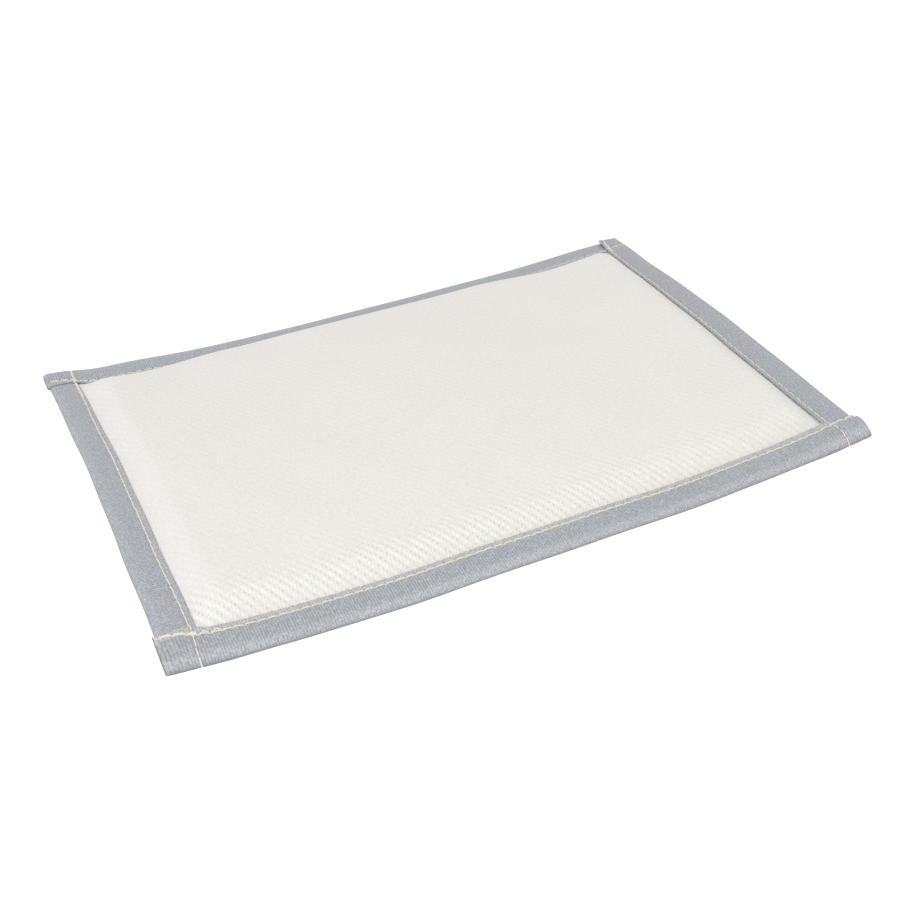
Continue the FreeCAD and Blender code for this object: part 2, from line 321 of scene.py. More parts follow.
FRONT = Edge("front", True, -1, cover=(14.3, 13.9, 14.3), seam=(11.5, 11.6, 11.3), proud=(0.1, 0.1, 0.1),
             drop=(1.1, 1.5, 1.1), bow=(-0.2, 0.5, -0.4), over=(0.5, 0.4), narrow=(-2.0, 2.0),
             stray=(3.6, 0), lift=(0, 0), run=14, seed=11)
BACK = Edge("back", True, 1, cover=(14.0, 13.5, 12.2), seam=(10.8, 10.7, 9.5), proud=(0.1, 0.1, 0.1),
            drop=(-1.2, 0.9, 0.0), bow=(0, 0, 0), over=(0.8, 0), narrow=(3.0, 1.0), stray=(-3.6, 0),
            lift=(0, 0), run=24, seed=12)
LEFT = Edge("left", False, -1, cover=(12.8, 12.7, 11.6), seam=(10.8, 10.4, 10.7), proud=(0.15, 0.15, 0.15),
            drop=(1.4, 1.4, 1.1), bow=(1.5, 0.3, 0.3), over=(0, 0), narrow=(0, 0), stray=(-1.0, 0),
            lift=(0, 0), run=14, seed=13)
RIGHT = Edge("right", False, 1, cover=(14.2, 12.5, 9.8), seam=(11.5, 10.6, 8.0), proud=(0.8, 0.6, 0.4),
             drop=(0.6, 0.4, 0.7), bow=(0.1, 1.1, 1.3), over=(0, -1.2), narrow=(0, 0), stray=(0, -0.6),
             lift=(0, 1.2), run=14, seed=14)
EDGES = [FRONT, BACK, LEFT, RIGHT]
CROSSINGS = {"front": (LEFT, RIGHT), "back": (LEFT, RIGHT), "left": (FRONT, BACK), "right": (FRONT, BACK)}


# ------------------------------------------------ from the flat mat to the curled one

def pressed(s, y):
    """How much the stitches press the layers together here, in mm."""
    depth = np.zeros(np.shape(s))
    for edge in EDGES:
        along, inward = edge.split(s, y)
        inward = inward - edge.seam(along)
        to_last_hole = np.where(along < 0, along - edge.holes[0], edge.holes[-1] - along)
        inside = smooth((to_last_hole + GROOVE_PAST) / GROOVE_FADE)
        gap = edge.gap(along)
        tick = np.where(inward > 0, 1 - smooth(inward / TICK_REACH), bell(inward, TICK_BACK))
        depth = depth + inside * (GROOVE_DEPTH * bell(inward, GROOVE_WIDTH)
                                  + HOLE_DEPTH * bell(inward, HOLE_WIDTH) * bell(gap, HOLE_WIDTH)
                                  + TICK_DEPTH * tick * bell(gap, TICK_WIDTH))
    return depth


def puffed(s, y):
    """How far the front tape's right end stands up between its seam and its fold, in mm."""
    along, inward = FRONT.split(s, y)
    q = np.clip(inward / FRONT.seams[2], 0, 1)
    profile = np.sin(math.pi * q) ** PUFF_FULLNESS * smooth((1 - q) / PUFF_FOOT)
    return PUFF_HEIGHT * bell(along - HALF_LENGTH + PUFF_PLACE, PUFF_LENGTH) * profile


def settled(s, y, h):
    """Height once the edge is pressed thinner, sinks outside its seams and is drawn in by the stitches."""
    apart, share, drop = 1.0, 1e-9, 0.0  # the tiny share is there to divide by in the mat's middle
    for edge in EDGES:
        along, inward = edge.split(s, y)
        reach = np.clip(1 - inward / DROOP_RUN, 0, 1) ** 2
        apart = apart * (1 - reach)
        share = share + reach
        drop = drop + reach * edge.between(edge.drops, along)
    high_drop = (1 - apart) * drop / share
    low_drop = np.minimum(high_drop, LOW_DROP * (1 - apart))
    height = (h - TAPE_LOW) / (TAPE_HIGH - TAPE_LOW)
    pull = np.clip((h - CLOTH_MIDDLE) / FOLD, -PULL_LIMIT, PULL_LIMIT)
    waves = sum(rise * bell(s - place, width) for place, width, rise in BACK_WAVES)
    lifted = waves * smooth((y - BACK_WAVES_FROM) / BACK_WAVES_RUN)
    return (h - low_drop - (high_drop - low_drop) * height - pressed(s, y) * pull
            + puffed(s, y) * np.maximum(pull, 0) + lifted)


def bowed(s, y):
    """The edges' outer folds bow out a little, and less further in."""
    u, v = s, y
    for edge in EDGES:
        along, inward = edge.split(s, y)
        out = edge.side * edge.between(edge.bows, along) * np.clip(1 - inward / BOW_RUN, 0, BOW_LIMIT) ** 2
        u, v = (u, v + out) if edge.lengthways else (u + out, v)
    return u, v


def wandered(s, y):
    """The small waves that keep the edges from being ruler straight."""
    return s + ripples(s, y, SIDE_WAVES), y + ripples(s, y, LONG_WAVES)


def world(s, y, h):
    """Points in metres for places on the mat. Each short end curls up along a parabola, and keeps its
    length, so its edge draws in a little."""
    s, y, h = np.broadcast_arrays(np.asarray(s, float), y, h)
    h = settled(s, y, h)
    s, y = wandered(*bowed(s, y))
    side = np.sign(s)
    t = np.clip((np.abs(s) - CURL_START) / CURL_RUN, 0, None)
    rise = CURL_CORNER + CURL_BELLY * (1 - (y / HALF_WIDTH) ** 2)
    slope = 2 * rise * t / CURL_RUN
    length = np.sqrt(1 + slope ** 2)
    drawn_in = slope ** 2 * t * CURL_RUN / 6
    x = side * (np.abs(s) - drawn_in - slope * h / length)
    return np.stack([x, y, rise * t ** 2 + h / length], -1) * MM


# ------------------------------------------------ meshes

def make_mesh(name, points, faces, flat):
    """A mesh object from points in metres, faces as lists of corner indices, and flat places in mm."""
    mesh = bpy.data.meshes.new(name)
    mesh.from_pydata(points.tolist(), [], faces)
    attribute = mesh.attributes.new("flat", "FLOAT_VECTOR", "POINT")
    attribute.data.foreach_set("vector", np.ascontiguousarray(flat, np.float32).ravel())
    if volume_of(mesh) < 0:
        mesh.flip_normals()
    mesh.update()
    mesh.validate()
    mesh.shade_smooth()
    piece = bpy.data.objects.new(name, mesh)
    bpy.context.scene.collection.objects.link(piece)
    return piece


def volume_of(mesh):
    """The volume inside a closed mesh, negative where its faces look inward."""
    mesh.calc_loop_triangles()
    corners = np.zeros(len(mesh.loop_triangles) * 3, np.int32)
    mesh.loop_triangles.foreach_get("vertices", corners)
    places = np.zeros(len(mesh.vertices) * 3, np.float32)
    mesh.vertices.foreach_get("co", places)
    a, b, c = places.reshape(-1, 3)[corners.reshape(-1, 3)].astype(float).transpose(1, 0, 2)
    return float(np.sum(a * np.cross(b, c)) / 6)


def quads(index):
    """Faces of a grid of vertex indices."""
    corners = np.stack([index[:-1, :-1], index[1:, :-1], index[1:, 1:], index[:-1, 1:]], -1)
    return corners.reshape(-1, 4).tolist()


def border(index, step=1):
    """The indices round the border of a grid, once round, every step."""
    return np.concatenate([index[:-1:step, 0], index[-1, :-1:step], index[:0:-step, -1], index[0, :0:-step]])


def shell(name, outer, inner, flat, stride):
    """A closed sheet from two grids of points. The inner face is hidden, so it keeps one point in stride."""
    front = np.arange(outer.shape[0] * outer.shape[1]).reshape(outer.shape[:2])
    coarse = inner[::stride, ::stride]
    behind = front.size + np.arange(coarse.shape[0] * coarse.shape[1]).reshape(coarse.shape[:2])
    faces = quads(front) + quads(behind[::-1])
    rim, back_rim = border(front).tolist(), border(behind).tolist()
    rim.append(rim[0])
    back_rim.append(back_rim[0])
    for i in range(len(back_rim) - 1):
        fine = rim[i * stride:(i + 1) * stride + 1]
        faces.append(fine[::-1] + [back_rim[i], back_rim[i + 1]])
    points = np.concatenate([outer.reshape(-1, 3), coarse.reshape(-1, 3)])
    places = np.concatenate([flat.reshape(-1, 3), flat[::stride, ::stride].reshape(-1, 3)])
    return make_mesh(name, points, faces, places)


def spread(half, wall, count):
    """Places from -half to half, closer together near the walls at plus and minus wall."""
    fine = np.linspace(-half, half, 4001)
    density = 1 + WALL_PINCH * bell(np.abs(fine) - wall + WALL_PLACE, WALL_WIDTH)
    total = np.concatenate([[0], np.cumsum((density[1:] + density[:-1]) / 2)])
    return np.interp(np.linspace(0, total[-1], count), total, fine)


def flat_places(points):
    """For a grid of points, how far each one is from the middle along the cloth, in mm."""
    def along(axis):
        steps = np.linalg.norm(np.diff(points, axis=axis), axis=-1) / MM
        total = np.cumsum(steps, axis=axis)
        total = np.concatenate([np.zeros_like(np.take(total, [0], axis)), total], axis)
        return total - np.take(total, [points.shape[axis] // 2], axis)

    return np.stack([along(0), along(1), np.zeros(points.shape[:2])], -1)


def openness(s, y):
    """How open the weave is: most where the cloth bends down to the front seam, and less to the right. It
    scales the weave's bumps and its painted highlight and shade.
    """
    calm = CALM_SHARE * smooth((s - CALM_FROM) / CALM_RUN)
    bend = bell(y + INNER_Y - BEND_PLACE, BEND_WIDTH) * (1 - calm)
    return CLOSE_WEAVE + (OPEN_WEAVE - CLOSE_WEAVE) * bend


# ------------------------------------------------ the padded middle

def wall_rise(inward, run, fullness):
    """How far the cloth has risen, from 0 to 1, at this distance in from its wall's foot. Fullness 0 is an
    even roll-over and 1 a wall that starts upright."""
    q = np.clip(inward / run, 0, 1)
    return (1 - fullness) * np.sin(q * math.pi / 2) + fullness * np.sqrt(np.clip(1 - (1 - q) ** 2, 0, 1))


def crown(s, y):
    """Share of the full padded height at a place, 0 under the tapes and 1 on the plateau. Each wall has the
    place of its foot, past the tape's inner edge, the length of its rise, and its fullness. The back wall is
    upright where the felt fills it, which it doesn't at the ends."""
    full = smooth((s - FULL_FROM) / FULL_IN) * smooth((FULL_TO - s) / FULL_OUT)
    walls = ((FRONT, -0.2, 11.5, 0.25),
             (BACK, -0.2 - 1.6 * full, 12.0 - 4.0 * full, full),
             (LEFT, -0.2, 12.0, 0.15),
             (RIGHT, 0.5, 11.0, 0.3))
    share = 1.0
    for edge, foot, run, fullness in walls:
        along, inward = edge.split(s, y)
        share = share * wall_rise(inward - edge.cover(along) - foot, run, fullness)
    return share


def arched(x, half):
    """1 in the middle and 0 from half on."""
    return np.cos(np.clip(x / half, -1, 1) * math.pi / 2)


def resting_height(s, y):
    """Height of the top cloth's outer face as sewn, before the felt swells it."""
    dome = DOME_HEIGHT * arched(s, INNER_X) * arched(y, INNER_Y)
    return CLOTH_HIGH + (PAD_THICKNESS - CLOTH_HIGH + ripples(s, y, FELT_WAVES) + dome) * crown(s, y)


def make_pillow(s, y):
    """The mat's middle as a closed pillow, pinned at its seams and on the surface that it lies on, on a grid
    of places. Gives the pillow and the points of its top."""
    top = world(s, y, resting_height(s, y))
    bottom = world(s, y, bottom_height(s, y))
    front = np.arange(s.size).reshape(s.shape)
    behind = front + s.size
    rim, back_rim = border(front).tolist(), border(behind).tolist()
    faces = quads(front) + quads(behind[::-1])
    count = len(rim)
    for i in range(count):
        j = (i + 1) % count
        faces.append([rim[j], rim[i], back_rim[i], back_rim[j]])
    points = np.concatenate([top.reshape(-1, 3), bottom.reshape(-1, 3)])
    pillow = make_mesh("pillow", points, faces, points)
    held = np.zeros(s.shape, bool)
    for edge in EDGES:
        place, inward = edge.split(s, y)
        held |= inward < edge.cover(place) + PINNED_PAST
    pinned = pillow.vertex_groups.new(name="held")
    pinned.add(np.concatenate([front[held], behind.ravel()]).tolist(), 1.0, "REPLACE")
    return pillow, top


def simulated_swell():
    """Cloth simulation of the pillow, with the felt pressing from inside. Gives the places along and across
    the mat, and how far the top cloth rises at each one, in mm."""
    along = np.linspace(-INNER_X - PILLOW_MARGIN, INNER_X + PILLOW_MARGIN, round(2 * INNER_X / SWELL_CELL))
    across = np.linspace(-INNER_Y - PILLOW_MARGIN, INNER_Y + PILLOW_MARGIN, round(2 * INNER_Y / SWELL_CELL))
    s, y = np.meshgrid(along, across, indexing="ij")
    pillow, top = make_pillow(s, y)
    settings = pillow.modifiers.new("cloth", "CLOTH").settings
    settings.vertex_group_mass = "held"
    settings.use_pressure = True
    settings.uniform_pressure_force = 4.0
    settings.quality = 4
    settings.mass = 0.4
    settings.tension_stiffness = 40
    settings.compression_stiffness = 40
    settings.bending_stiffness = 2
    settings.shrink_min = -0.004
    settings.effector_weights.gravity = 0.0
    scene = bpy.context.scene
    for frame_number in range(1, SWELL_FRAMES + 1):
        scene.frame_set(frame_number)
    moved = pillow.evaluated_get(bpy.context.evaluated_depsgraph_get()).data
    places = np.zeros(len(moved.vertices) * 3)
    moved.vertices.foreach_get("co", places)
    scene.frame_set(1)
    rise = (places.reshape(-1, 3)[:s.size, 2] - top.reshape(-1, 3)[:, 2]).reshape(s.shape) / MM
    mesh = pillow.data
    bpy.data.objects.remove(pillow)
    bpy.data.meshes.remove(mesh)
    return along, across, SWELL_CAP * np.tanh(rise * SWELL_SHARE / SWELL_CAP)


def swell(s, y):
    """How far the simulated cloth rises at a place, in mm."""
    along, across, rise = SWELL
    i = np.clip(np.searchsorted(along, s) - 1, 0, len(along) - 2)
    j = np.clip(np.searchsorted(across, y) - 1, 0, len(across) - 2)
    p = smooth((s - along[i]) / (along[1] - along[0]))
    q = smooth((y - across[j]) / (across[1] - across[0]))
    low = rise[i, j] * (1 - p) + rise[i + 1, j] * p
    high = rise[i, j + 1] * (1 - p) + rise[i + 1, j + 1] * p
    return low * (1 - q) + high * q


def top_height(s, y):
    """Height of the top cloth's outer face."""
    return resting_height(s, y) + swell(s, y)


def sunk(s, y):
    """Share of the way down from the edge to the surface that the mat lies on."""
    share = 1.0
    for edge in EDGES:
        along, inward = edge.split(s, y)
        share = share * smooth((inward - TAPE_WIDTH + edge.cover(along)) / SINK_RUN)
    return share


def bottom_height(s, y):
    """Height of the bottom cloth's outer face."""
    return CLOTH_LOW * (1 - sunk(s, y))


SWELL = simulated_swell()


def make_cloth(name, height, thickness, counts):
    """One of the two cloths, from the height of its outer face. The thickness is downward."""
    s = spread(HALF_LENGTH - CLOTH_INSET, INNER_X, counts[0])[:, None]
    y = spread(HALF_WIDTH - CLOTH_INSET, INNER_Y, counts[1])[None, :]
    s, y = np.broadcast_arrays(s, y)
    outer_h = height(s, y)
    outer = world(s, y, outer_h)
    inner = world(s, y, outer_h - thickness)
    places = flat_places(outer)
    places[..., 2] = openness(s, y)
    return shell(name, outer, inner, places, HIDDEN_STRIDE)


def room_top(s, y):
    """Height of the top of the room for the felts, under the top cloth."""
    return top_height(s, y) - CLOTH_THICKNESS - SLACK


def room_floor(s, y):
    """Height of the room's floor, on the bottom cloth."""
    return bottom_height(s, y) + CLOTH_THICKNESS + SLACK


def split_height(s, y):
    """Height where the two felts meet."""
    return np.clip(FELT_SPLIT, room_floor(s, y), np.maximum(room_top(s, y), room_floor(s, y)))


def make_felt(name, low_of, high_of):
    """A felt between two heights, which keeps a hair's thickness where they meet."""
    s = spread(INNER_X - FELT_INSET, INNER_X - FELT_WALL, 97)[:, None]
    y = spread(INNER_Y - FELT_INSET, INNER_Y - FELT_WALL, 65)[None, :]
    s, y = np.broadcast_arrays(s, y)
    low, high = low_of(s, y), high_of(s, y)
    middle = (low + high) / 2
    under = world(s, y, np.minimum(low, middle - LEAST_FELT))
    over = world(s, y, np.maximum(high, middle + LEAST_FELT))
    return shell(name, over, under, flat_places(over), 1)


# ------------------------------------------------ binding tapes

def tape_section():
    """The folded tape's section as rows (w, depth, nd, nh, outside): the place across the tape's own width,
    the depth under its outer face, the way that face looks, and 1 on it and 0 elsewhere."""
    rows = []

    def skin(depth, places, outside):
        for w in places:
            turn = np.clip(w / FOLD, -math.pi / 2, math.pi / 2)
            rows.append((w, depth, -math.cos(turn), math.sin(turn), outside))

    end = SELVEDGE - SELVEDGE_ROUND
    near, far = 0.22, TAPE_THICKNESS - 0.22  # the selvedge is rounded off between these depths
    skin(0.0, np.concatenate([np.linspace(-end, -ARC, 15), np.linspace(-ARC, ARC, 11)[1:-1],
                              np.linspace(ARC, end, 27)]), 1.0)
    skin(near, [SELVEDGE], 0.0)
    skin(far, [SELVEDGE], 0.0)
    skin(TAPE_THICKNESS, np.concatenate([np.linspace(end, ARC, 6), np.linspace(ARC, -ARC, 7)[1:-1],
                                         np.linspace(-ARC, -end, 6)]), 0.0)
    skin(far, [-SELVEDGE], 0.0)
    skin(near, [-SELVEDGE], 0.0)
    return np.array(rows)


def make_tape(edge):
    """The tape folded over one edge of the mat."""
    ends = [edge.reach + past if past else edge.reach - COVERED_END for past in edge.over]
    low, high = -ends[0], ends[1]
    count = round((high - low) / (RIB_PITCH / 4))
    t = np.linspace(low, high, count + 1)[:, None]
    w, depth, nd, nh, outside = tape_section().T[:, None, :]
    to_selvedge = SELVEDGE - np.abs(w)
    past_end = np.abs(t) - edge.reach
    corner_lift = edge.lift(t, LIFT_WIDTH)

    rib = np.abs(np.sin(math.pi * t / RIB_PITCH)) - RIB_FLOOR
    relief = outside * RIB_HEIGHT * rib * smooth(to_selvedge / SELVEDGE_RUN)
    fold_share = bell(np.maximum(np.abs(w) - ARC, 0), FOLD_STIFF_WIDTH)
    raised = edge.climb(t, TAPE_STEP_RUN) * (1 - fold_share) + edge.climb(t, FOLD_CLIMB_RUN) * fold_share
    out = raised + relief - depth

    narrowed = edge.between(edge.covers, t) - edge.cover(t)
    rounded = CORNER_ROUND * corner_lift * np.clip((past_end + CORNER_START) / CORNER_RUN, 0, 1) ** 2
    under = TAPE_WIDTH - edge.cover(t) - (1 + UNDER_NARROW) * narrowed
    cover = np.where(w > 0, edge.cover(t), under) - rounded
    scallop = SCALLOP * np.sin(math.pi * t / RIB_PITCH) * (to_selvedge < 2 * SELVEDGE_ROUND)
    beyond = np.clip((np.abs(w) - ARC) / LEG, 0, 1)
    inward = FOLD + (cover - FOLD) * beyond + nd * (FOLD + out) + scallop

    margin = np.clip((inward - edge.seam(t)) / (cover - edge.seam(t)), 0, 1) ** PROUD_POWER
    off_middle = nh * (FOLD + out) + np.where(nh > 0.99, edge.proud(t) * margin, 0.0)
    pinch = 1 - TIP_PINCH * smooth((past_end + TIP_PINCH_START) / TIP_PINCH_RUN) * (corner_lift == 0)
    h = CLOTH_MIDDLE + off_middle * pinch + edge.lift(t, inward) * np.clip(nh, 0, 1)

    along = np.broadcast_to(t, h.shape)
    points = world(*edge.place(along, inward), h)
    # the third number of each place is the edge's share of painted highlight
    flat = np.stack([along, np.broadcast_to(w, h.shape), np.full(h.shape, PAINTED_HIGHLIGHT_SHARE[edge.name])], -1)
    index = np.arange(h.size).reshape(h.shape)
    faces = quads(np.concatenate([index, index[:, :1]], 1)) + [index[0].tolist(), index[-1, ::-1].tolist()]
    return make_mesh(f"binding_{edge.name}_ribbed", points.reshape(-1, 3), faces, flat.reshape(-1, 3))


# ------------------------------------------------ thread

def swept_frame(path):
    """Two directions across a path at each of its points, which don't twist along it."""
    tangent = np.gradient(path, axis=0)
    tangent /= np.linalg.norm(tangent, axis=1)[:, None]
    normal = np.cross(tangent[0], (0.3, 0.5, 0.8))  # any direction off the path's own will do
    normals = []
    for direction in tangent:
        normal = normal - direction * np.dot(normal, direction)
        normal = normal / np.linalg.norm(normal)
        normals.append(normal)
    normals = np.array(normals)
    return normals, np.cross(tangent, normals)


def tube(paths, name):
    """Three-ply thread along each path of points in metres, with its radius in mm."""
    turn = np.arange(THREAD_SIDES) * 2 * math.pi / THREAD_SIDES
    points, faces, flat = [], [], []
    start = 0
    for path, radius in paths:
        normals, binormals = swept_frame(path)
        steps = np.linalg.norm(np.diff(path, axis=0), axis=1)
        length = np.concatenate([[0], np.cumsum(steps)])[:, None] / MM
        twist = 2 * math.pi * length / TWIST_PITCH
        angle = np.broadcast_to(turn, (len(path), THREAD_SIDES))
        size = radius * MM * (1 - PLY_DEPTH + PLY_DEPTH * np.cos(3 * (angle - twist)))
        ring = (path[:, None] + normals[:, None] * (np.cos(angle) * size)[..., None]
                + binormals[:, None] * (np.sin(angle) * size)[..., None])
        index = start + np.arange(angle.size).reshape(angle.shape)
        start += index.size
        faces += quads(np.concatenate([index, index[:, :1]], 1))
        faces += [index[0, ::-1].tolist(), index[-1].tolist()]
        points.append(ring.reshape(-1, 3))
        lay = np.stack([np.broadcast_to(length, angle.shape), angle, np.zeros(angle.shape)], -1)
        flat.append(lay.reshape(-1, 3))
    return make_mesh(name, np.concatenate(points), faces, np.concatenate(flat))


def stitched_path(edge, face, start, end, offset=0.0, shift=0.0, loop=0.0, stride=1, dive=1.3, seed=21):
    """Path of the visible thread between two places along a seam, offset inward from it and shifted along
    it, diving this deep into each stride-th hole, or with stride 0 only into the first and the last. A loop
    swings each stitch to both sides. Face is 1 on top and -1 underneath."""
    random = np.random.default_rng(seed)
    inside = (edge.holes >= start - HOLE_REACH) & (edge.holes <= end + HOLE_REACH)
    holes = edge.holes[inside] + shift
    holes = holes[::stride] if stride else holes[[0, -1]]
    limit = edge.reach - FOLD
    places = []
    for a, b in zip(holes, holes[1:]):
        u = np.linspace(0, 1, math.ceil(PATH_STEPS * (b - a)), endpoint=False)
        along = a + (b - a) * u
        arch = (1 - np.abs(2 * u - 1) ** (DIVE_SHARPNESS * (b - a))) if stride else np.zeros(len(u))
        lean = random.uniform(*STITCH_LEAN)
        drift = random.uniform(-STITCH_DRIFT, STITCH_DRIFT)
        across = offset + arch * (lean * (1 - 2 * u) + drift + loop * np.sin(2 * math.pi * u))
        above = THREAD_LIFT * arch - dive * (1 - arch)
        wraps = np.where(along < 0, not edge.over[0], not edge.over[1])
        turn = np.clip((np.abs(along) - limit) / FOLD, 0, WRAP_TURN) * wraps
        radius = FOLD + edge.seam_rise(along) + above
        out = np.where(turn > 0, np.sign(along) * (limit + radius * np.sin(turn)), along)
        h = CLOTH_MIDDLE + face * radius * np.cos(turn)
        places.append(np.stack([out, edge.seam(along) + across, h], -1))
    along, inward, h = np.concatenate(places).T
    return world(*edge.place(along, inward), h)


# The back-tacks and doubled stitches of each seam, as arguments of stitched_path, with a radius of their own
# where the thread is thicker.
BACKTACKS = {
    "front": [dict(start=-156, end=-136, offset=0.1, shift=-0.7, stride=0, dive=-0.1, radius=0.5),
              dict(start=-153, end=-137, offset=-0.25, shift=0.9, stride=3, dive=0.1, radius=0.36),
              dict(start=-141, end=-126, offset=0.45, shift=1.4, loop=0.45),
              dict(start=134, end=155, offset=0.15, stride=0, dive=-0.25, radius=0.42)],
    "back": [dict(start=-150, end=-136, offset=1.1, shift=1.1),
             dict(start=-138, end=-112, offset=0.5, shift=2.0, loop=0.5),
             dict(start=134, end=151, offset=0.3, shift=1.5)],
    "left": [dict(start=72, end=101, offset=0.5, shift=1.6, stride=2, dive=0.4),
             dict(start=82, end=93, shift=0.8)],
    "right": [dict(start=82, end=101, offset=-0.4, shift=1.2),
              dict(start=84, end=93, offset=0.35, shift=2.1)],
}


def make_thread(edge, face):
    """One seam's needle thread, on top, or its bobbin thread, underneath."""
    kind = "needle" if face > 0 else "bobbin"
    usual = THREAD_RADII[edge.name]
    paths = [(stitched_path(edge, face, -edge.reach - 3, edge.reach + 3), usual)]
    for i, backtack in enumerate(BACKTACKS[edge.name]):
        rest = {key: value for key, value in backtack.items() if key != "radius"}
        paths.append((stitched_path(edge, face, seed=30 + i, **rest), backtack.get("radius", usual)))
    return tube(paths, f"{kind}_thread_{edge.name}_spun")


# ------------------------------------------------ materials

class Graph:
    """Short names for building a node material."""

    def __init__(self, name):
        self.material = bpy.data.materials.new(name)
        self.material.use_nodes = True
        self.tree = self.material.node_tree
        self.shader = self.tree.nodes["Principled BSDF"]

    def node(self, kind, output=0, inputs=(), **settings):
        """Add a node with these inputs, each a number, a colour or another node's output."""
        made = self.tree.nodes.new("ShaderNode" + kind)
        for name, value in settings.items():
            setattr(made, name, value)
        for name, value in dict(inputs).items():
            self.feed(made.inputs[name], value)
        return made.outputs[output]

    def feed(self, socket, value):
        """Link another node's output to a socket, or set a number or colour on it."""
        if isinstance(value, bpy.types.NodeSocket):
            self.tree.links.new(value, socket)
        else:
            socket.default_value = value

    def math(self, operation, a, b=0.0, c=0.0):
        return self.node("Math", inputs={0: a, 1: b, 2: c}, operation=operation)

    def times(self, a, b):
        return self.math("MULTIPLY", a, b)

    def plus(self, a, b):
        return self.math("ADD", a, b)

    def minus(self, a, b):
        return self.math("SUBTRACT", a, b)

    def scaled(self, value, factor, base):
        """The value times the factor, plus the base."""
        return self.math("MULTIPLY_ADD", value, factor, base)

    def ramp(self, value, low, high):
        """0 at low and before it, 1 at high and past it, an S between. Low may be the larger."""
        return self.node("MapRange", inputs={0: value, 1: low, 2: high}, interpolation_type="SMOOTHSTEP")

    def mix(self, share, a, b):
        """Colour between a and b. The Mix node's colours are its inputs 6 and 7 and its output 2."""
        return self.node("Mix", output=2, data_type="RGBA", inputs={0: share, 6: a, 7: b})

    def flat(self):
        """The place on the flat piece, whole and as separate numbers, in mm."""
        vector = self.node("Attribute", output="Vector", attribute_name="flat")
        made = self.tree.nodes.new("ShaderNodeSeparateXYZ")
        self.tree.links.new(vector, made.inputs[0])
        return vector, made.outputs[0], made.outputs[1], made.outputs[2]

    def noise(self, vector, scale, detail=2.0, stretch=(1, 1, 1)):
        stretched = self.node("VectorMath", inputs={0: vector, 1: stretch}, operation="MULTIPLY")
        return self.node("TexNoise", inputs={"Vector": stretched, "Scale": scale, "Detail": detail})

    def bump(self, height, distance, strength=1.0):
        inputs = {"Height": height, "Distance": distance * MM, "Strength": strength}
        self.feed(self.shader.inputs["Normal"], self.node("Bump", inputs=inputs))

    def finish(self, colour, roughness, **fixed):
        """Feed the shader, with its fixed inputs named with _ for a space."""
        self.feed(self.shader.inputs["Base Color"], colour)
        self.feed(self.shader.inputs["Roughness"], roughness)
        for name, value in fixed.items():
            self.shader.inputs[name.replace("_", " ")].default_value = value
        return self.material


def rgb(red, green, blue):
    """A linear colour from sRGB values of 0 to 255."""
    def linear(v):
        v = v / 255
        return v / 12.92 if v <= 0.04045 else ((v + 0.055) / 1.055) ** 2.4

    return (linear(red), linear(green), linear(blue), 1.0)


def woven_material():
    """Silica cloth, in a twill that its making has pulled a little askew: each warp yarn floats over three
    weft yarns, highest in the middle of the float, and dips under the fourth. Its colour has a painted
    highlight on the crest of each float and a dark dot of painted shade in each dip."""
    g = Graph("silica_cloth")
    vector, x, y, opened = g.flat()
    stray = g.times(g.noise(vector, 0.22, 1.0), 0.7)
    column = g.math("DIVIDE", g.plus(g.scaled(y, WARP_LEAN, x), stray), WARP_PITCH)
    row = g.math("DIVIDE", g.minus(g.scaled(x, WEFT_LEAN, y), stray), WEFT_PITCH)
    in_row = g.math("FRACT", row)
    off_warp = g.minus(g.times(g.math("FRACT", column), 2.0), 1.0)
    off_weft = g.minus(g.times(in_row, 2.0), 1.0)
    warp_number = g.math("FLOOR", column)
    weft_number = g.math("FLOOR", row)
    step = g.math("FLOORED_MODULO", g.plus(warp_number, weft_number), 4.0)
    floats = g.math("GREATER_THAN", step, 0.5)

    across = g.minus(1.0, g.times(off_warp, off_warp))
    along_float = g.math("DIVIDE", g.plus(g.minus(step, 1.0), in_row), 3.0)
    hump = g.math("MAXIMUM", g.math("SINE", g.times(along_float, math.pi)), 0.0)
    crest = g.times(g.times(across, g.math("POWER", hump, 3.6)), floats)
    dip = g.times(across, g.minus(1.0, g.times(off_weft, off_weft)))
    dot = g.times(dip, g.minus(1.0, floats))

    fibres = g.noise(vector, 1.0, 3.0, (5.5, 0.9, 1.0))
    specks = g.ramp(g.noise(vector, 0.8, 2.0), 0.35, 0.65)
    cell = g.node("CombineXYZ", inputs={0: warp_number, 1: weft_number})
    chance = g.node("TexWhiteNoise", inputs={"Vector": cell})
    relief = g.minus(g.times(crest, 0.7), g.times(dot, 0.5))
    relief = g.times(relief, g.scaled(opened, 0.75, 0.25))
    fuzz = g.plus(g.times(fibres, 0.15), g.times(specks, 0.08))
    g.bump(g.plus(relief, fuzz), 0.2, 0.7)

    cloud = g.noise(vector, 0.03, 3.0)
    shade = g.plus(g.times(cloud, 0.5), g.times(specks, 0.5))
    ground = g.mix(shade, rgb(226, 223, 216), rgb(235, 232, 227))
    # painted highlight: the crests of the floats are lighter, more where the weave is open
    painted_crest_highlight = g.times(g.times(crest, opened), g.scaled(specks, 0.7, 0.3))
    # painted shade: a dark dot in each dip under a float, more where the weave is open
    painted_dip_shade = g.times(g.times(g.times(dot, opened), g.scaled(chance, 0.6, 0.15)), 0.9)
    colour = g.mix(painted_dip_shade, g.mix(painted_crest_highlight, ground, rgb(251, 249, 244)), rgb(190, 187, 181))
    return g.finish(colour, g.scaled(fibres, 0.2, 0.55), Sheen_Weight=0.15, Sheen_Roughness=0.4)


